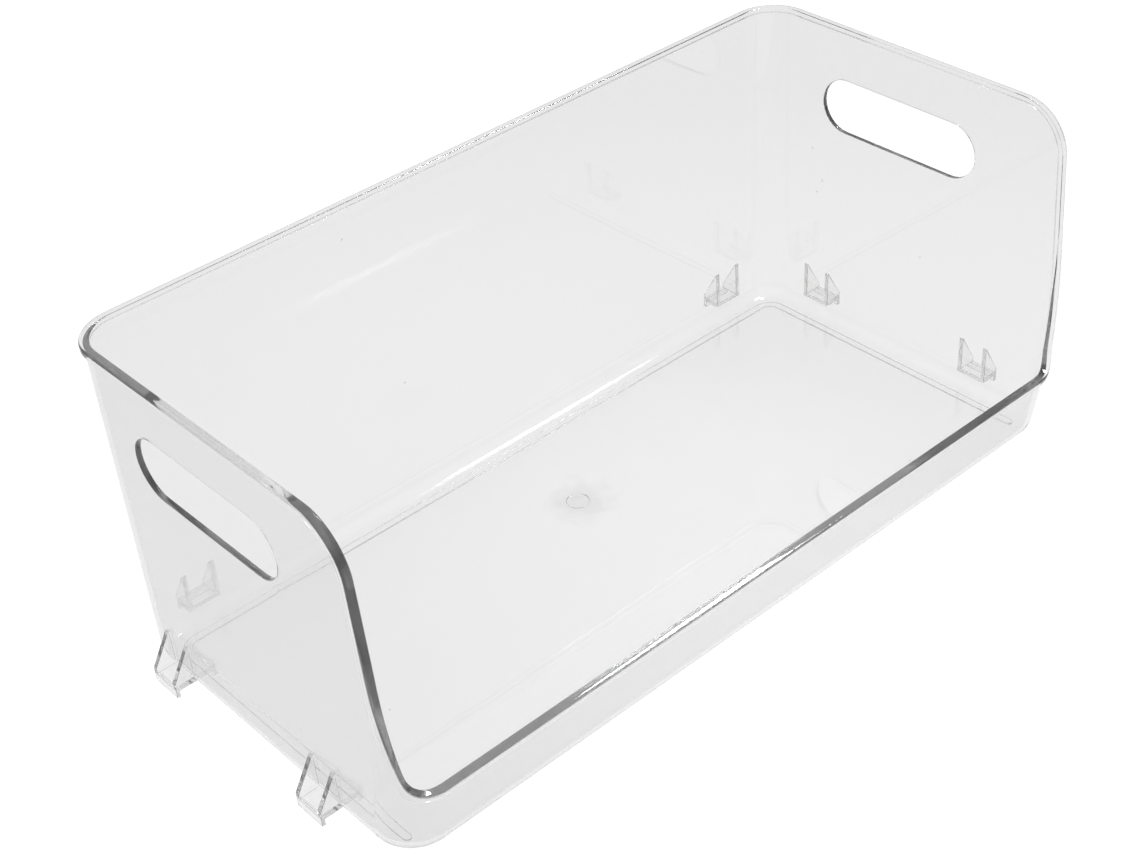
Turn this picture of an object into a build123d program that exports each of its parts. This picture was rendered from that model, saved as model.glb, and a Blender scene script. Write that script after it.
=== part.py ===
from build123d import *
import math
import os

# Open-front stacking fridge bin: one clear moulding, modelled as its separate regions.
# Millimetres, +Z up, long side along X, low front lip towards -Y, and the origin on the
# table under the middle of the whole bin. The driving distances in Y are measured from
# the shell's own centre line, and centred() moves the finished pieces to the origin.

# Shell
HEIGHT = 152.0            # table to rim
HALF_LENGTH = 180.8       # outer face of an end wall, at the floor's underside
BACK = 81.3               # outer face of the back wall, at the floor's underside
FRONT = 84.8              # outer face of the front wall, carried down to the underside
END_SLOPE = 2.1 / 151     # outward draft of the end walls
BACK_SLOPE = 1.2 / 151    # outward draft of the back wall
FRONT_SLOPE = math.tan(math.radians(9.5))
CORNER = 18.0             # upright corners, outer radius in plan
BASE_RADIUS = 9.0         # outer radius between the floor and the walls
WALL = 2.4
FLOOR = 2.4

# Front opening
LIP_HEIGHT = 35.5         # table to the top of the front lip
EDGE_AT_LIP = 86.2        # end wall's front edge, carried down to the lip's height
EDGE_SLOPE = math.tan(math.radians(3.45))
EDGE_TOP_RADIUS = 22.0
EDGE_FOOT_RADIUS = 2.5

# Rim bead
BEAD = 1.5                # how far it stands proud of the wall
BEAD_DEPTH = 3.0          # from the rim down, or in from the edge

# Handle slots
SLOT_LENGTH = 84.0
SLOT_WIDTH = 25.0
SLOT_HEIGHT = 115.0       # table to the slot's centre
SLOT_Y = 5.0

# Foot rail and gate mark
FOOT_HEIGHT = 1.0
RAIL_WIDTH = 4.0
RAIL_FRONT_END = 71.5     # centre of the rounded ends, in front of the centre line
GATE_RADIUS = 5.0
GATE_DEPTH = 0.4
GATE_Y = 23.5

# Stacking clips
CLIP_REACH = 9.1          # wall to the hook's outer face
CLIP_WIDTH = 15.0
SHELF_BOTTOM = 6.6
SHELF_TOP = 8.4
HOOK_BOTTOM = 3.8
HOOK_THICKNESS = 1.6
FIN_TOP = 24.6
FIN_THICKNESS = 2.0
FIN_LAND = 2.0            # upright part of a fin's outer edge, above the shelf
FIN_TIP = 0.6             # width of a fin's upper end
CLIP_ROOT = 4.0           # stock behind the wall's face, trimmed off against the shell
LEFT_CLIP_YS = {"front": -41.4, "back": 51.8}
RIGHT_CLIP_YS = {"front": -43.8, "back": 49.6}
BACK_CLIP_X = 151.0

# Where the moulding is divided
SPLIT_X = HALF_LENGTH - CORNER
SPLIT_BACK_Y = BACK - CORNER
SPLIT_FRONT_Y = -70.0
CURVE_TOP = FOOT_HEIGHT + BASE_RADIUS
FLOOR_MARGIN = 1.0        # floor panel's edge, inside the end of the rounded base edge
FLOOR_FRONT = 76.2        # floor panel's front edge
REACH = 300.0             # half size of a cutting block, larger than the bin


def slab(x_range, y_range, z_range):
    """A block between two values on each axis."""
    sizes = [high - low for low, high in (x_range, y_range, z_range)]
    middles = [(high + low) / 2 for low, high in (x_range, y_range, z_range)]
    return Pos(*middles) * Box(*sizes)


def side_prism(profile):
    """A Y-Z face run along the whole length of the bin."""
    return extrude(profile, amount=REACH, both=True)


def outline(height, inset):
    """The outer wall's plan at a height above the table, moved inward by inset."""
    rise = height - FOOT_HEIGHT
    half_length = HALF_LENGTH + rise * END_SLOPE - inset
    back = BACK + rise * BACK_SLOPE - inset
    front = FRONT + rise * FRONT_SLOPE - inset * math.hypot(1, FRONT_SLOPE)
    plan = RectangleRounded(2 * half_length, back + front, CORNER - inset)
    return Pos(0, (back - front) / 2, height) * plan


def drafted_block(low, high, inset, radius=0.0):
    """The space inside the wall's outline between two heights, with its lower edge rounded."""
    block = loft([outline(low, inset).face(), outline(high, inset).face()], ruled=True)
    if radius:
        block = fillet(block.faces().sort_by(Axis.Z)[0].edges(), radius)
    return block


def side_profile(inset):
    """Side view of the bin below its rim, front edges and lip, moved inward by inset."""
    lip = (-REACH, LIP_HEIGHT)
    foot = (-EDGE_AT_LIP, LIP_HEIGHT)
    top = (-EDGE_AT_LIP + (HEIGHT - LIP_HEIGHT) * EDGE_SLOPE, HEIGHT)
    points = [lip, foot, top, (REACH, HEIGHT), (REACH, -REACH), (-REACH, -REACH)]
    face = make_face(Plane.YZ * Polyline(*points, close=True))
    for corner, radius in ((top, EDGE_TOP_RADIUS), (foot, EDGE_FOOT_RADIUS)):
        face = fillet([face.vertices().sort_by_distance((0, *corner))[0]], radius)
    if inset:
        face = offset(face, -inset, kind=Kind.INTERSECTION)
    return face


def floor_plan(front, inset):
    """Plan inside the rounded base edge, out to a given distance in front, moved inward."""
    half_length = HALF_LENGTH - BASE_RADIUS - inset
    back = BACK - BASE_RADIUS - inset
    plan = RectangleRounded(2 * half_length, back + front, CORNER - BASE_RADIUS - inset)
    return Pos(0, (back - front) / 2) * plan


def handle_slots():
    """Both finger slots, as one bar through the two end walls."""
    slot = Plane.YZ * SlotOverall(SLOT_LENGTH, SLOT_WIDTH)
    return Pos(0, SLOT_Y, SLOT_HEIGHT) * extrude(slot, amount=REACH, both=True)


def shell():
    """The thin shell: floor, rounded base, walls, front opening and handle slots."""
    outside = drafted_block(FOOT_HEIGHT, HEIGHT, 0, BASE_RADIUS)
    floor_top = FOOT_HEIGHT + FLOOR
    inside = drafted_block(floor_top, HEIGHT + WALL, WALL, BASE_RADIUS - WALL)
    return ((outside - inside) & side_prism(side_profile(0))) - handle_slots()


def rim_bead():
    """The thin bead outside the rim, down the front edges and along the lip."""
    skin = drafted_block(FOOT_HEIGHT, HEIGHT, -BEAD) - drafted_block(0, HEIGHT + 1, 0)
    band = side_prism(side_profile(0)) - side_prism(side_profile(BEAD_DEPTH))
    return skin & band


def regions():
    """The blocks that divide the moulding, by node name."""
    middle_x = (-SPLIT_X, SPLIT_X)
    ends = {"left": (-REACH, -SPLIT_X), "right": (SPLIT_X, REACH)}
    side_y = (SPLIT_FRONT_Y, SPLIT_BACK_Y)
    low = (0, CURVE_TOP)
    high = (CURVE_TOP, REACH)
    blocks = {
        "back_wall": slab(middle_x, (0, REACH), high),
        "front_wall": slab(middle_x, (-REACH, 0), high),
        "base_curve_back": slab(middle_x, (0, REACH), low),
        "base_curve_front": slab(middle_x, (-REACH, 0), low),
    }
    for side, end_x in ends.items():
        blocks[f"{side}_end_wall"] = slab(end_x, side_y, high)
        blocks[f"base_curve_{side}"] = slab(end_x, side_y, low)
        blocks[f"{side}_back_corner"] = slab(end_x, (SPLIT_BACK_Y, REACH), (0, REACH))
        blocks[f"{side}_front_corner"] = slab(end_x, (-REACH, SPLIT_FRONT_Y), (0, REACH))
    return blocks


def shell_pieces():
    """The floor panel and the pieces of wall and rounded base around it."""
    moulding = shell()
    floor_block = extrude(floor_plan(FLOOR_FRONT, FLOOR_MARGIN), amount=CURVE_TOP)
    surround = moulding - floor_block
    pieces = {"floor_panel": moulding & floor_block}
    for name, block in regions().items():
        pieces[name] = surround & block
    return pieces


def bead_pieces():
    """The rim bead, divided at the same corners as the walls."""
    bead = rim_bead()
    full = (-REACH, REACH)
    middle_x = (-SPLIT_X, SPLIT_X)
    blocks = {
        "rim_bead_back": slab(middle_x, (0, REACH), full),
        "rim_bead_front": slab(middle_x, (-REACH, 0), full),
        "rim_bead_left": slab((-REACH, -SPLIT_X), full, full),
        "rim_bead_right": slab((SPLIT_X, REACH), full, full),
    }
    return {name: bead & block for name, block in blocks.items()}


def foot_rail_pieces():
    """The low rail under the floor's edge, open at the front with rounded ends."""
    loop = floor_plan(REACH, 0) - floor_plan(REACH + RAIL_WIDTH, RAIL_WIDTH)
    ring = extrude(loop, amount=FOOT_HEIGHT)
    rail = ring & slab((-REACH, REACH), (-RAIL_FRONT_END, REACH), (0, FOOT_HEIGHT))
    end_x = HALF_LENGTH - BASE_RADIUS - RAIL_WIDTH / 2
    for x in (-end_x, end_x):
        rail += Pos(x, -RAIL_FRONT_END, FOOT_HEIGHT / 2) * Cylinder(RAIL_WIDTH / 2, FOOT_HEIGHT)
    full = (-REACH, REACH)
    return {
        "foot_rail_back": rail & slab((-SPLIT_X, SPLIT_X), full, full),
        "foot_rail_left": rail & slab((-REACH, -SPLIT_X), full, full),
        "foot_rail_right": rail & slab((SPLIT_X, REACH), full, full),
    }


def gate_mark():
    """The round vestige under the floor where the plastic entered the mould."""
    disc = Cylinder(GATE_RADIUS, GATE_DEPTH)
    return Pos(0, GATE_Y, FOOT_HEIGHT - GATE_DEPTH / 2) * disc


def clip_fins():
    """Two triangular gussets, with the wall at X = 0 and the clip reaching to +X."""
    points = [
        (-CLIP_ROOT, SHELF_TOP),
        (CLIP_REACH, SHELF_TOP),
        (CLIP_REACH, SHELF_TOP + FIN_LAND),
        (FIN_TIP, FIN_TOP),
        (-CLIP_ROOT, FIN_TOP),
    ]
    profile = make_face(Plane.XZ * Polyline(*points, close=True))
    fin = extrude(profile, amount=FIN_THICKNESS / 2, both=True)
    side = (CLIP_WIDTH - FIN_THICKNESS) / 2
    return Pos(0, -side, 0) * fin + Pos(0, side, 0) * fin


def clip_shelf():
    """The ledge that sits on the rim of the bin below."""
    across = (-CLIP_WIDTH / 2, CLIP_WIDTH / 2)
    return slab((-CLIP_ROOT, CLIP_REACH - HOOK_THICKNESS), across, (SHELF_BOTTOM, SHELF_TOP))


def clip_hook():
    """The turned-down lip that drops outside the rim of the bin below."""
    across = (-CLIP_WIDTH / 2, CLIP_WIDTH / 2)
    return slab((CLIP_REACH - HOOK_THICKNESS, CLIP_REACH), across, (HOOK_BOTTOM, SHELF_TOP))


def clip_places():
    """Each clip's name and where its local frame stands on the wall."""
    end_face = HALF_LENGTH + (SHELF_TOP - FOOT_HEIGHT) * END_SLOPE
    back_face = BACK + (SHELF_TOP - FOOT_HEIGHT) * BACK_SLOPE
    places = {}
    for place, y in LEFT_CLIP_YS.items():
        places[f"left_end_{place}"] = Pos(-end_face, y, 0) * Rot(0, 0, 180)
    for place, y in RIGHT_CLIP_YS.items():
        places[f"right_end_{place}"] = Pos(end_face, y, 0)
    places["back_left"] = Pos(-BACK_CLIP_X, back_face, 0) * Rot(0, 0, 90)
    places["back_right"] = Pos(BACK_CLIP_X, back_face, 0) * Rot(0, 0, 90)
    return places


def clip_pieces():
    """Fins, shelf and hook of the six stacking clips, trimmed to the shell's outer face."""
    body = drafted_block(FOOT_HEIGHT, HEIGHT, 0, BASE_RADIUS)
    shapes = {"fins": clip_fins(), "shelf": clip_shelf(), "hook": clip_hook()}
    pieces = {}
    for place, location in clip_places().items():
        for part, shape in shapes.items():
            pieces[f"clip_{place}_{part}"] = location * shape - body
    return pieces


def centred(pieces):
    """Every piece, moved so that the origin is under the middle of the whole bin."""
    boxes = [piece.bounding_box() for piece in pieces.values()]
    front = min(box.min.Y for box in boxes)
    back = max(box.max.Y for box in boxes)
    return {name: Pos(0, -(front + back) / 2, 0) * piece for name, piece in pieces.items()}


def main():
    pieces = shell_pieces() | bead_pieces() | foot_rail_pieces() | clip_pieces()
    pieces["gate_mark"] = gate_mark()
    os.makedirs("parts", exist_ok=True)
    for name, piece in centred(pieces).items():
        export_step(piece, f"parts/{name}.step")


main()
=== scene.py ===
import math

import bmesh
import bpy
from mathutils import Matrix, Vector


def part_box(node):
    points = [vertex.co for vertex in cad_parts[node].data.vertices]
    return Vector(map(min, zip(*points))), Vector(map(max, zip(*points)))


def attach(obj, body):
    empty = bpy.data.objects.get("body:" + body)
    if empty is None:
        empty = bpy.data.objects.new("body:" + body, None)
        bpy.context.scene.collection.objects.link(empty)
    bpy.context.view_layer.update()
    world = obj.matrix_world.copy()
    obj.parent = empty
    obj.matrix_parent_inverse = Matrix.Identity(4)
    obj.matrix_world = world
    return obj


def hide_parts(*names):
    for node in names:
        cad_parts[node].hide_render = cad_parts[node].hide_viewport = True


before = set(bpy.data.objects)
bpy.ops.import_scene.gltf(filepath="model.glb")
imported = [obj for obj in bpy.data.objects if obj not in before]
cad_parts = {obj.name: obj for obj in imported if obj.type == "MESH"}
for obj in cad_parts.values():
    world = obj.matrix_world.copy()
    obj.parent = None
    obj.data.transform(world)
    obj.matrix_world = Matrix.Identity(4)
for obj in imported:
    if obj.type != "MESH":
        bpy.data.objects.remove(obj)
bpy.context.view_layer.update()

# Open-front clear fridge bin. The whole moulding is one seamless skin, laid on the packed
# frame; each stacking clip is a rounded piece of its own. Metres, in the frame's axes.

MM = 0.001

# Shell
WALL = 2.4 * MM
CORNER = 18 * MM
BASE_RADIUS = 9 * MM
END_SLOPE = 2.1 / 151
BACK_SLOPE = 1.2 / 151
FRONT_SLOPE = math.tan(math.radians(9.5))
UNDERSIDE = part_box("floor_panel")[0].z
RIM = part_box("back_wall")[1].z
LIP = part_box("front_wall")[1].z
END_AT_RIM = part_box("right_end_wall")[1].x
BACK_AT_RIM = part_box("back_wall")[1].y
FRONT_AT_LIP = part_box("front_wall")[0].y
GATE_RADIUS = 5 * MM
GATE_BEHIND = 23.5 * MM      # gate's centre behind the bin's centre line
CENTRE_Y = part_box("gate_mark")[0].y + GATE_RADIUS - GATE_BEHIND

# Front edge of an end wall, seen from the side
EDGE_AT_LIP = CENTRE_Y - 86.2 * MM
EDGE_ANGLE = math.radians(3.45)
EDGE_TOP_RADIUS = 22 * MM
EDGE_SWEEP = 9 * MM          # how far up the edge its sweep into the lip begins

# Rim bead
BEAD = 1.5 * MM
BEAD_DEPTH = 3 * MM
BEAD_ROUND = 0.55 * MM
RIM_ROUND = 0.9 * MM

# Handle slots
SLOT_HALF_LENGTH = 42 * MM
SLOT_RADIUS = 12.5 * MM
SLOT_HEIGHT = 115 * MM
SLOT_Y = CENTRE_Y + 5 * MM
SLOT_ROUND = 0.9 * MM

# Foot rail and gate mark
RAIL_WIDTH = 4 * MM
RAIL_GAP = 0.3 * MM
RAIL_ROUND = 0.35 * MM
GATE_Y = CENTRE_Y + GATE_BEHIND
GATE_DEPTH = 0.4 * MM
GATE_RIM = 1.6 * MM
GATE_HAZE = 17 * MM

# Stacking clips
FIN_THICKNESS = 2 * MM
FIN_LAND = 2 * MM
FIN_TIP = 0.6 * MM
HOOK_THICKNESS = 1.6 * MM
CLIP_GAP = 0.03 * MM
CLIP_ROUND = 0.25 * MM

# Plastic
PLASTIC_IOR = 1.57
SHELL_TINT, CLIP_TINT = 0.89, 0.95
SHELL_DENSITY = 3.5        # absorption in each metre of plastic
CLIP_DENSITY = 14.0
ROUGHNESS_LOW, ROUGHNESS_HIGH = 0.012, 0.09
SPECK_DARKENS, HAZE_DARKENS = 0.6, 0.09
LIGHT_BOUNCES = 128        # light runs down inside a wall by many small reflections

# Stage
STAGE_HALF = 6.0
STAGE_Z = -0.3 * MM
STAGE_WHITE = 0.95
POOL_CENTRE = (0.05, -0.05)
POOL_INNER, POOL_OUTER = 0.05, 0.4
POOL_BRIGHT, POOL_DIM = 0.9, 0.77
HORIZON_GREY = 0.6
SKY_WHITE_FROM = 0.6       # rise of the direction at which the sky is white
CARD_SIZE = (0.45, 0.3)
CARD_PLACE = (0.9, 0.2, 1.5)
CARD_WATTS = 12

# Smoothness
CORNER_STEPS = 14
CURVE_STEPS = 8
EDGE_STEPS = 16
ROUND_STEPS = 4
WELD = 0.003 * MM


# ---- the outer surface of the walls -------------------------------------------------

def half_length(z):
    return END_AT_RIM - (RIM - z) * END_SLOPE


def back_y(z):
    return BACK_AT_RIM - (RIM - z) * BACK_SLOPE


def front_y(z):
    return FRONT_AT_LIP + (LIP - z) * FRONT_SLOPE


class Column:
    """One upright line on the right half of the wall: a middle line, or a place on a corner."""

    def __init__(self, place, angle):
        self.place = place
        self.flat = Vector((math.sin(angle), math.cos(angle), 0))
        if place.startswith("front"):
            self.flat.y = -self.flat.y
        drift = BACK_SLOPE if place.startswith("back") else -FRONT_SLOPE
        self.slope = self.flat.x * END_SLOPE + self.flat.y * drift

    def outline(self, z):
        """Where the column is on the outer face at a height."""
        back = self.place.startswith("back")
        wall_y = back_y(z) if back else front_y(z)
        if self.place.endswith("middle"):
            return Vector((0, wall_y, z))
        centre_y = wall_y - CORNER if back else wall_y + CORNER
        return Vector((half_length(z) - CORNER, centre_y, z)) + self.flat * CORNER

    def normal(self):
        return (self.flat - Vector((0, 0, self.slope))).normalized()

    def curve(self, turn, depth):
        """A point on the rounded base edge, from the wall (turn 0) to the floor (turn 1)."""
        start = math.atan(self.slope)
        angle = start + (math.pi / 2 - start) * turn
        reach = BASE_RADIUS * (self.slope - math.hypot(1, self.slope) + math.cos(angle))
        z = UNDERSIDE + BASE_RADIUS * (1 - math.sin(angle))
        point = self.outline(z) + self.flat * (reach - self.slope * (z - UNDERSIDE))
        normal = self.flat * math.cos(angle) - Vector((0, 0, math.sin(angle)))
        return point - normal * depth


# ---- the rim, as stations along the edge of the wall --------------------------------

def arc(steps, start=0.0, end=math.pi / 2):
    return [start + (end - start) * i / steps for i in range(steps + 1)]


def unrolled(y, z):
    """A side-view place on the end wall, as how far it is round the front corner, and its height."""
    ahead = front_y(z) + CORNER - y
    if ahead > 0:
        ahead = CORNER * math.asin(min(1, ahead / CORNER))
    return Vector((ahead, z))


def edge_curve():
    """The end wall's edge laid flat: round the top, down the front, and swept into the lip."""
    lean = EDGE_ANGLE
    foot = Vector((EDGE_AT_LIP, LIP))
    along = Vector((math.sin(lean), math.cos(lean)))
    top = foot + along * (RIM - LIP) / math.cos(lean)
    cut = EDGE_TOP_RADIUS * math.tan((math.pi / 2 - lean) / 2)
    centre = top + Vector((cut, -EDGE_TOP_RADIUS))
    points = []
    for turn in arc(EDGE_STEPS, 0, math.pi / 2 - lean):
        out = Vector((-math.sin(turn), math.cos(turn)))
        points.append(unrolled(*(centre + out * EDGE_TOP_RADIUS)))
    high = top - along * cut
    low = foot + along * EDGE_SWEEP
    for i in range(1, 2 * EDGE_STEPS):
        points.append(unrolled(*high.lerp(low, i / (2 * EDGE_STEPS))))
    start = unrolled(*low)
    down = (start - points[-1]).normalized()
    bend = start + down * (start.y - LIP) / -down.y
    end = bend + Vector((EDGE_SWEEP, 0))
    for i in range(2 * CURVE_STEPS + 1):
        t = i / (2 * CURVE_STEPS)
        points.append(start * (1 - t) ** 2 + bend * 2 * t * (1 - t) + end * t ** 2)
    return points


def edge_stations():
    """Each place along the edge with the direction into the wall, both laid flat."""
    points = edge_curve()
    stations = []
    for i, point in enumerate(points):
        along = points[min(i + 1, len(points) - 1)] - points[max(i - 1, 0)]
        inward = Vector((along.y, -along.x)).normalized()
        if i in (0, len(points) - 1):
            inward = Vector((0, -1))
        stations.append((point, inward))
    return stations


def edge_place(station, inset):
    """Where a station is when moved into the wall, laid flat."""
    point, inward = station
    return point + inward * inset


def edge_point(station, inset):
    """The same place on the outer face, with its normal."""
    ahead, z = edge_place(station, inset)
    column = Column("front corner", math.pi / 2 - max(0, ahead) / CORNER)
    return column.outline(z) + Vector((0, max(0, -ahead), 0)), column.normal()


def end_face(y, z):
    """The outer point and normal of the right end wall at a side-view place."""
    column = Column("front corner", math.pi / 2)
    point = column.outline(z)
    point.y = y
    return point, column.normal()


def column_point(column, height):
    """A station on a level stretch of rim: inset goes straight down."""
    return lambda inset: (column.outline(height - inset), column.normal())


back_columns = [Column("back middle", 0)]
back_columns += [Column("back corner", a) for a in arc(CORNER_STEPS)]
edge = edge_stations()
foot_turn = math.pi / 2 - edge[-1][0].x / CORNER
lip_columns = [Column("front corner", a) for a in arc(CURVE_STEPS, foot_turn, 0)[1:]]
lip_columns.append(Column("front middle", 0))

rim = [column_point(c, RIM) for c in back_columns]
rim += [lambda inset, s=s: edge_point(s, inset) for s in edge]
rim += [column_point(c, LIP) for c in lip_columns]

# The columns under the edge's stations that stand on the round corner
corner_columns = []
for station in edge:
    ahead = edge_place(station, BEAD_DEPTH).x
    if ahead > 0:
        corner_columns.append(Column("front corner", math.pi / 2 - ahead / CORNER))


# ---- mesh helpers -------------------------------------------------------------------

def vertices(mesh, points):
    return [mesh.verts.new(p) for p in points]


def bridge(mesh, rows, closed=False):
    """Quads between each row of vertices and the next."""
    for near, far in zip(rows, rows[1:]):
        count = len(near) if closed else len(near) - 1
        for i in range(count):
            j = (i + 1) % len(near)
            mesh.faces.new((near[i], near[j], far[j], far[i]))


def fill(mesh, *loops):
    """A flat face inside the first loop of points, less the others."""
    edges = []
    for points in loops:
        ring = vertices(mesh, points)
        edges += [mesh.edges.new(pair) for pair in zip(ring, ring[1:] + ring[:1])]
    bmesh.ops.triangle_fill(mesh, use_beauty=True, edges=edges)


# ---- the shell ----------------------------------------------------------------------

def rim_section():
    """(inset, height over the outer face) round the rim: bead, top, inner face."""
    turns = arc(ROUND_STEPS)
    points = [(BEAD_DEPTH, 0)]
    points += [(BEAD_DEPTH - BEAD_ROUND * (1 - math.cos(a)), BEAD - BEAD_ROUND * (1 - math.sin(a)))
               for a in turns]
    points += [(RIM_ROUND * (1 - math.sin(a)), BEAD - RIM_ROUND * (1 - math.cos(a))) for a in turns]
    points += [(RIM_ROUND * (1 - math.cos(a)), -WALL + RIM_ROUND * (1 - math.sin(a))) for a in turns]
    points.append((BEAD_DEPTH, -WALL))
    return points


def add_rim(mesh):
    rows = []
    for inset, rise in rim_section():
        row = []
        for station in rim:
            point, normal = station(inset)
            place = point + normal * rise
            place.z = min(place.z, RIM)
            row.append(place)
        rows.append(vertices(mesh, row))
    bridge(mesh, rows)


def slot_loop(offset, depth):
    """The slot's outline in an end wall, grown by offset, at a depth in the wall."""
    radius = SLOT_RADIUS + offset
    straight = SLOT_HALF_LENGTH - SLOT_RADIUS
    points = []
    for sign in (1, -1):
        for a in arc(2 * CURVE_STEPS, -math.pi / 2, math.pi / 2):
            y = SLOT_Y + sign * (straight + radius * math.cos(a))
            z = SLOT_HEIGHT + sign * radius * math.sin(a)
            point, normal = end_face(y, z)
            points.append(point - normal * depth)
    return points


def add_slot(mesh):
    bends = [(SLOT_ROUND * (1 - math.sin(a)), SLOT_ROUND * (1 - math.cos(a)))
             for a in arc(ROUND_STEPS)]
    sections = bends + [(offset, WALL - depth) for offset, depth in reversed(bends)]
    bridge(mesh, [vertices(mesh, slot_loop(*s)) for s in sections], closed=True)


def add_walls(mesh, depth):
    """The wall's outer skin (depth 0) or inner skin, from the base curve up to the rim."""
    tops = []
    for station in rim:
        point, normal = station(BEAD_DEPTH)
        tops.append(point - normal * depth)
    count = len(back_columns)
    feet = [c.curve(0, depth) for c in back_columns]
    bridge(mesh, [vertices(mesh, feet), vertices(mesh, tops[:count])])
    front = corner_columns + lip_columns
    first = len(tops) - len(front)
    front_feet = [c.curve(0, depth) for c in front]
    fill(mesh, [feet[-1], *tops[count - 1:first + 1], front_feet[0]], slot_loop(SLOT_ROUND, depth))
    bridge(mesh, [vertices(mesh, front_feet), vertices(mesh, tops[first:])])


ring = back_columns + corner_columns + lip_columns


def add_base_curve(mesh, depth):
    turns = [i / CURVE_STEPS for i in range(CURVE_STEPS + 1)]
    bridge(mesh, [vertices(mesh, [c.curve(t, depth) for c in ring]) for t in turns])


def rail_loop(offset, z):
    """The right half of the foot rail's outline, shrunk by offset, from back to back."""
    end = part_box("foot_rail_right")[1].x - RAIL_GAP
    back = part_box("foot_rail_back")[1].y - RAIL_GAP
    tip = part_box("foot_rail_right")[0].y + RAIL_WIDTH / 2
    radius = CORNER - BASE_RADIUS - RAIL_GAP
    width = RAIL_WIDTH - 2 * RAIL_GAP
    points = [(0, back - offset)]
    for a in arc(CORNER_STEPS):
        points.append((end - radius + (radius - offset) * math.sin(a),
                       back - radius + (radius - offset) * math.cos(a)))
    for a in arc(2 * CURVE_STEPS, 0, math.pi):
        points.append((end - width / 2 + (width / 2 - offset) * math.cos(a),
                       tip - (width / 2 - offset) * math.sin(a)))
    for a in arc(CORNER_STEPS, math.pi / 2, 0):
        points.append((end - radius + (radius - width + offset) * math.sin(a),
                       back - radius + (radius - width + offset) * math.cos(a)))
    points.append((0, back - width + offset))
    return [Vector((x, y, z)) for x, y in points]


def gate_loop(radius, z):
    """Half a circle about the gate, from back to front."""
    return [Vector((radius * math.sin(a), GATE_Y + radius * math.cos(a), z))
            for a in arc(4 * CURVE_STEPS, 0, math.pi)]


def add_floor(mesh):
    """Inner floor, underside with its foot rail and gate mark."""
    fill(mesh, [c.curve(1, WALL) for c in ring])
    rail_levels = [(0, UNDERSIDE), (0, RAIL_ROUND)]
    rail_levels += [(RAIL_ROUND * (1 - math.cos(a)), RAIL_ROUND * (1 - math.sin(a)))
                    for a in arc(ROUND_STEPS)[1:]]
    bridge(mesh, [vertices(mesh, rail_loop(*level)) for level in rail_levels])
    fill(mesh, rail_loop(*rail_levels[-1]))
    deep = UNDERSIDE - GATE_DEPTH
    shallow = UNDERSIDE - GATE_DEPTH / 4
    gate_levels = [(GATE_RADIUS, UNDERSIDE), (GATE_RADIUS - GATE_DEPTH / 2, deep),
                   (GATE_RADIUS - GATE_RIM, deep), (GATE_RADIUS - 2 * GATE_RIM, shallow)]
    bridge(mesh, [vertices(mesh, gate_loop(*level)) for level in gate_levels])
    fill(mesh, gate_loop(*gate_levels[-1]))
    outline = [c.curve(1, 0) for c in ring]
    gate, rail = gate_loop(*gate_levels[0]), rail_loop(*rail_levels[0])
    fill(mesh, [*outline, *reversed(gate), *reversed(rail)])


def finished(mesh, name):
    """Welds a mesh, turns its faces outward, and makes the object with clean smooth shading."""
    bmesh.ops.remove_doubles(mesh, verts=mesh.verts[:], dist=WELD)
    bmesh.ops.recalc_face_normals(mesh, faces=mesh.faces[:])
    data = bpy.data.meshes.new(name)
    mesh.to_mesh(data)
    mesh.free()
    data.polygons.foreach_set("use_smooth", [True] * len(data.polygons))
    piece = bpy.data.objects.new(name, data)
    bpy.context.scene.collection.objects.link(piece)
    data.set_sharp_from_angle(angle=math.radians(40))
    weighted = piece.modifiers.new("flat faces stay flat", "WEIGHTED_NORMAL")
    weighted.keep_sharp = True
    weighted.weight = 100
    return piece


def build_shell():
    mesh = bmesh.new()
    add_rim(mesh)
    add_slot(mesh)
    for depth in (0, WALL):
        add_walls(mesh, depth)
        add_base_curve(mesh, depth)
    add_floor(mesh)
    half = mesh.verts[:] + mesh.edges[:] + mesh.faces[:]
    bmesh.ops.mirror(mesh, geom=half, axis="X", merge_dist=WELD)
    return finished(mesh, "clear_shell")


# ---- the stacking clips -------------------------------------------------------------

CLIPS = ("left_end_front", "left_end_back", "right_end_front", "right_end_back",
         "back_left", "back_right")


def clip_frame(place):
    """The clip's own frame: X out of the wall from its face, Y across, Z up, in metres."""
    hook_low, hook_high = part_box(f"clip_{place}_hook")
    middle = (hook_low + hook_high) / 2
    if place.startswith("back"):
        outer, turn = hook_high.y, math.pi / 2
        width = hook_high.x - hook_low.x
        wall = Vector((middle.x, back_y(hook_high.z), 0))
        reach = outer - wall.y
    else:
        side_sign = math.copysign(1, middle.x)
        turn = 0 if side_sign > 0 else math.pi
        width = hook_high.y - hook_low.y
        wall = Vector((side_sign * half_length(hook_high.z), middle.y, 0))
        reach = max(abs(hook_low.x), abs(hook_high.x)) - abs(wall.x)
    return Matrix.Translation(wall) @ Matrix.Rotation(turn, 4, "Z"), reach, width


def root_line(z, zero_z, slope):
    """How far out a clip's root stands at a height, against the drafted wall and its rounded foot."""
    out = (z - zero_z) * slope + CLIP_GAP
    below = UNDERSIDE + BASE_RADIUS - z
    if below > 0:
        out -= BASE_RADIUS - math.sqrt(BASE_RADIUS ** 2 - below ** 2)
    return out


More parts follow.
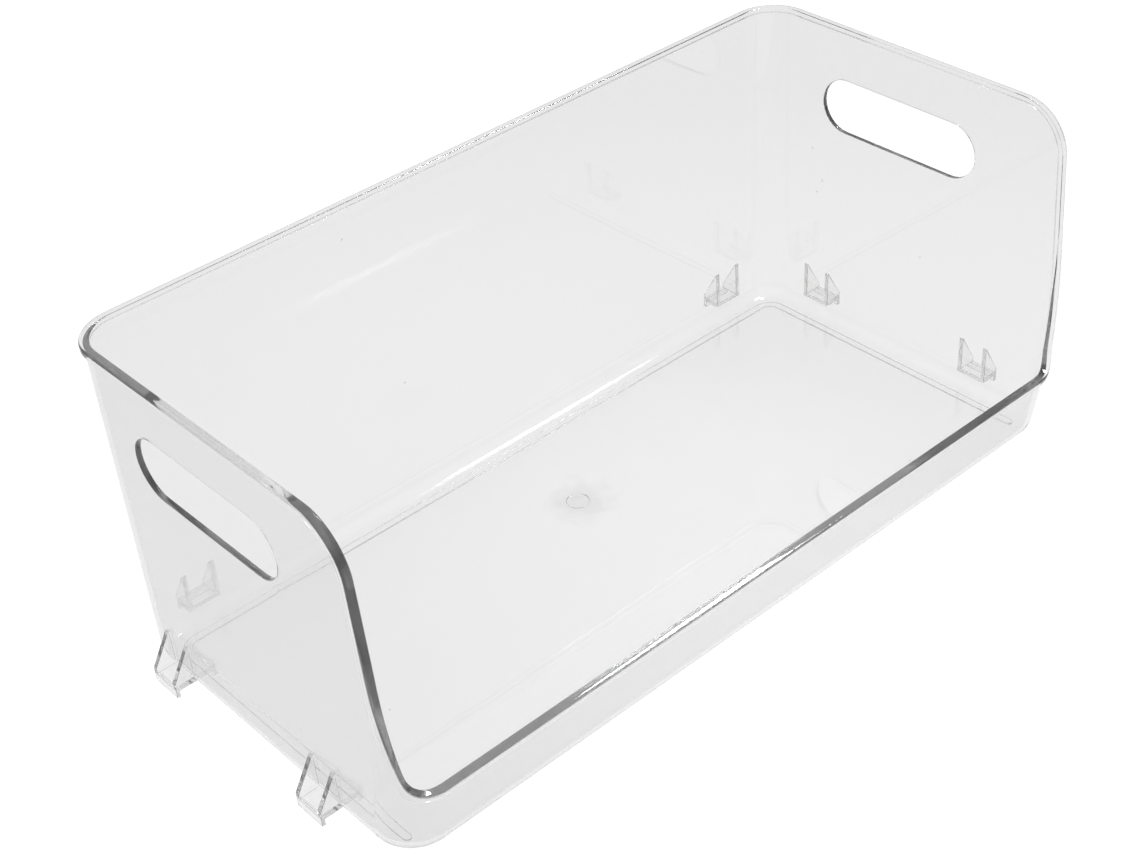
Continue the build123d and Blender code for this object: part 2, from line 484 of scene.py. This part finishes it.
def build_clip(place):
    """One clip: shelf, turned-down hook and two fins in a single rounded solid."""
    where, reach, width = clip_frame(place)
    hook_low, hook_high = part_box(f"clip_{place}_hook")
    shelf_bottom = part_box(f"clip_{place}_shelf")[0].z
    fin_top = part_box(f"clip_{place}_fins")[1].z
    slope = BACK_SLOPE if place.startswith("back") else END_SLOPE
    ledge = [(root_line(shelf_bottom, hook_high.z, slope), shelf_bottom),
             (reach - HOOK_THICKNESS, shelf_bottom),
             (reach - HOOK_THICKNESS, hook_low.z), (reach, hook_low.z), (reach, hook_high.z)]
    top_root = root_line(fin_top, hook_high.z, slope)
    fin = [(reach, hook_high.z + FIN_LAND), (top_root + FIN_TIP, fin_top), (top_root, fin_top)]
    root = (root_line(hook_high.z, hook_high.z, slope), hook_high.z)
    mesh = bmesh.new()

    def row(points, y):
        return vertices(mesh, [where @ Vector((x, y, z)) for x, z in points])

    half = width / 2
    inner = half - FIN_THICKNESS
    full = ledge + fin + [root]
    rows = {y: row(full, y) for y in (-half, -inner, inner, half)}
    for near, far in ((-half, -inner), (inner, half)):
        bridge(mesh, [rows[near], rows[far]], closed=True)
    low = len(ledge)
    for y in (-half, half):
        mesh.faces.new(rows[y])
    for y in (-inner, inner):
        mesh.faces.new(rows[y][low - 1:])
    ring_a = rows[-inner][:low] + [rows[-inner][-1]]
    ring_b = rows[inner][:low] + [rows[inner][-1]]
    bridge(mesh, [ring_a, ring_b], closed=True)
    piece = finished(mesh, f"clip_{place}")
    rounding = piece.modifiers.new("moulded edges", "BEVEL")
    rounding.width = CLIP_ROUND
    rounding.segments = 2
    rounding.limit_method = "ANGLE"
    rounding.angle_limit = math.radians(30)
    piece.modifiers.move(1, 0)
    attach(piece, "root")
    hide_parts(*[f"clip_{place}_{part}" for part in ("fins", "shelf", "hook")])
    return piece


# ---- materials ----------------------------------------------------------------------

def node(tree, kind, settings=None, **inputs):
    """A shader node with its settings, and its inputs set to values or linked to sockets."""
    made = tree.nodes.new("ShaderNode" + kind)
    for name, value in (settings or {}).items():
        setattr(made, name, value)
    for name, value in inputs.items():
        socket = made.inputs[name.replace("_", " ")]
        if isinstance(value, bpy.types.NodeSocket):
            tree.links.new(value, socket)
        else:
            socket.default_value = value
    return made


def math_node(tree, operation, *values):
    made = tree.nodes.new("ShaderNodeMath")
    made.operation = operation
    for socket, value in zip(made.inputs, values):
        if isinstance(value, bpy.types.NodeSocket):
            tree.links.new(value, socket)
        else:
            socket.default_value = value
    return made.outputs[0]


def ranged(tree, value, low, high, bottom, top):
    """value, carried from low..high onto bottom..top and held there."""
    return node(tree, "MapRange", Value=value, From_Min=low, From_Max=high,
                To_Min=bottom, To_Max=top).outputs["Result"]


def haze_about(tree, place, centre, radius):
    """1 at a point of the object, fading to 0 at a radius, with a cloudy edge."""
    noise = node(tree, "TexNoise", Vector=place, Scale=160.0, Detail=3.0).outputs[0]
    away = node(tree, "VectorMath", {"operation": "DISTANCE"})
    tree.links.new(place, away.inputs[0])
    away.inputs[1].default_value = centre
    ragged = ranged(tree, noise, 0.3, 0.7, 0.7, 1.4)
    cloudy = math_node(tree, "MULTIPLY", away.outputs["Value"], ragged)
    return ranged(tree, cloudy, 0.3 * radius, radius, 1.0, 0.0)


def specks(tree, place, scale, size, share):
    """Tiny dots of dust caught in the plastic: 1 in a dot and 0 elsewhere."""
    cells = node(tree, "TexVoronoi", Vector=place, Scale=scale)
    near = ranged(tree, cells.outputs["Distance"], size * 0.5, size, 1.0, 0.0)
    pick = node(tree, "SeparateColor", Color=cells.outputs["Color"]).outputs[0]
    few = math_node(tree, "LESS_THAN", pick, share)
    return math_node(tree, "MULTIPLY", near, few)


def clear_plastic(name, tint, density, marked):
    """Clear moulded plastic: faint flow waves, fine scuffs, dust specks, and a grey depth."""
    material = bpy.data.materials.new(name)
    material.use_nodes = True
    tree = material.node_tree
    shader = tree.nodes["Principled BSDF"]
    place = node(tree, "TexCoord").outputs["Object"]
    stretched = node(tree, "Mapping", Vector=place, Scale=(1.0, 0.35, 1.6)).outputs[0]
    scuffs = node(tree, "TexNoise", Vector=stretched, Scale=420.0, Detail=6.0, Roughness=0.7).outputs[0]
    roughness = ranged(tree, scuffs, 0.45, 0.75, ROUGHNESS_LOW, ROUGHNESS_HIGH)
    waves = node(tree, "TexNoise", Vector=place, Scale=28.0, Detail=2.0).outputs[0]
    dots = specks(tree, place, 95.0, 0.045, 0.10)
    clear = math_node(tree, "SUBTRACT", tint, math_node(tree, "MULTIPLY", dots, SPECK_DARKENS))
    if marked:
        haze = haze_about(tree, place, (0, GATE_Y - 2 * MM, UNDERSIDE), GATE_HAZE)
        clear = math_node(tree, "SUBTRACT", clear, math_node(tree, "MULTIPLY", haze, HAZE_DARKENS))
    colour = node(tree, "CombineColor", Red=clear, Green=clear, Blue=clear).outputs[0]
    tree.links.new(colour, shader.inputs["Base Color"])
    tree.links.new(roughness, shader.inputs["Roughness"])
    bump = node(tree, "Bump", Strength=0.12, Distance=0.4 * MM, Height=waves)
    tree.links.new(bump.outputs[0], shader.inputs["Normal"])
    shader.inputs["IOR"].default_value = PLASTIC_IOR
    shader.inputs["Transmission Weight"].default_value = 1
    depth = node(tree, "VolumeAbsorption", Color=(0, 0, 0, 1), Density=density)
    tree.links.new(depth.outputs["Volume"], tree.nodes["Material Output"].inputs["Volume"])
    return material


# ---- the scene ----------------------------------------------------------------------

def build_stage():
    """A pale floor that glows. The camera sees it evenly white; what the plastic sees of it is a
    painted pool of light, fading outward.
    """
    mesh = bpy.data.meshes.new("studio_floor")
    quarters = ((-1, -1), (1, -1), (1, 1), (-1, 1))
    corners = [(x * STAGE_HALF, y * STAGE_HALF, STAGE_Z) for x, y in quarters]
    mesh.from_pydata(corners, [], [(0, 1, 2, 3)])
    floor = bpy.data.objects.new("studio_floor", mesh)
    bpy.context.scene.collection.objects.link(floor)
    material = bpy.data.materials.new("studio_floor")
    material.use_nodes = True
    tree = material.node_tree
    shader = tree.nodes["Principled BSDF"]
    away = node(tree, "VectorMath", {"operation": "DISTANCE"})
    tree.links.new(node(tree, "TexCoord").outputs["Object"], away.inputs[0])
    away.inputs[1].default_value = (*POOL_CENTRE, STAGE_Z)
    # painted pool of light: the floor's glow, as the plastic sees it, is brightest near POOL_CENTRE and
    # dims outward
    pool = ranged(tree, away.outputs["Value"], POOL_INNER, POOL_OUTER, POOL_BRIGHT, POOL_DIM)
    seen = node(tree, "LightPath").outputs["Is Camera Ray"]
    glow = ranged(tree, seen, 0.0, 1.0, pool, STAGE_WHITE)
    tree.links.new(glow, shader.inputs["Emission Strength"])
    shader.inputs["Emission Color"].default_value = (1, 1, 1, 1)
    shader.inputs["Base Color"].default_value = (0.15, 0.15, 0.15, 1)
    shader.inputs["Roughness"].default_value = 0.9
    shader.inputs["Specular IOR Level"].default_value = 0.1
    mesh.materials.append(material)


def build_world():
    """A soft white sky over a greyer horizon, which is plain white behind the bin."""
    world = bpy.data.worlds.new("studio")
    bpy.context.scene.world = world
    world.use_nodes = True
    tree = world.node_tree
    direction = node(tree, "TexCoord").outputs["Generated"]
    up = node(tree, "SeparateXYZ", Vector=direction).outputs["Z"]
    sky = ranged(tree, up, 0.0, SKY_WHITE_FROM, HORIZON_GREY, 1.0)
    seen = node(tree, "LightPath").outputs["Is Camera Ray"]
    background = tree.nodes["Background"]
    tree.links.new(ranged(tree, seen, 0.0, 1.0, sky, 1.0), background.inputs["Color"])
    background.inputs["Strength"].default_value = STAGE_WHITE


def build_card():
    """A small bright card, for the white highlights along the rounded edges."""
    card = bpy.data.lights.new("highlight_card", "AREA")
    card.shape = "RECTANGLE"
    card.size, card.size_y = CARD_SIZE
    card.energy = CARD_WATTS
    lamp = bpy.data.objects.new("highlight_card", card)
    bpy.context.scene.collection.objects.link(lamp)
    lamp.location = CARD_PLACE
    lamp.rotation_euler = (-lamp.location).to_track_quat("-Z", "Y").to_euler()
    lamp.visible_diffuse = False
    lamp.visible_camera = False


def build_camera():
    """A long view from the front left, above the bin, with a slight roll."""
    data = bpy.data.cameras.new("camera")
    data.lens = 63.25
    data.sensor_width = 36
    camera = bpy.data.objects.new("camera", data)
    bpy.context.scene.collection.objects.link(camera)
    right = Vector((0.7371, -0.6735, -0.0573))
    forward = Vector((0.5176, 0.6169, -0.5929)).normalized()
    right = (right - forward * right.dot(forward)).normalized()
    up = right.cross(forward)
    turn = Matrix((right, up, -forward)).transposed()
    camera.matrix_world = Matrix.Translation((-0.4322, -0.4890, 0.5354)) @ turn.to_4x4()
    bpy.context.scene.camera = camera


SHELL_NODES = [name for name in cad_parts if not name.startswith("clip_")]

shell = build_shell()
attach(shell, "root")
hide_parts(*SHELL_NODES)
shell.data.materials.append(clear_plastic("clear_polystyrene", SHELL_TINT, SHELL_DENSITY, True))

clip_material = clear_plastic("clear_clip_plastic", CLIP_TINT, CLIP_DENSITY, False)
for place in CLIPS:
    build_clip(place).data.materials.append(clip_material)

build_stage()
build_world()
build_card()
build_camera()
bpy.context.scene.view_settings.view_transform = "Standard"
cycles = bpy.context.scene.cycles
cycles.max_bounces = cycles.transmission_bounces = cycles.glossy_bounces = LIGHT_BOUNCES
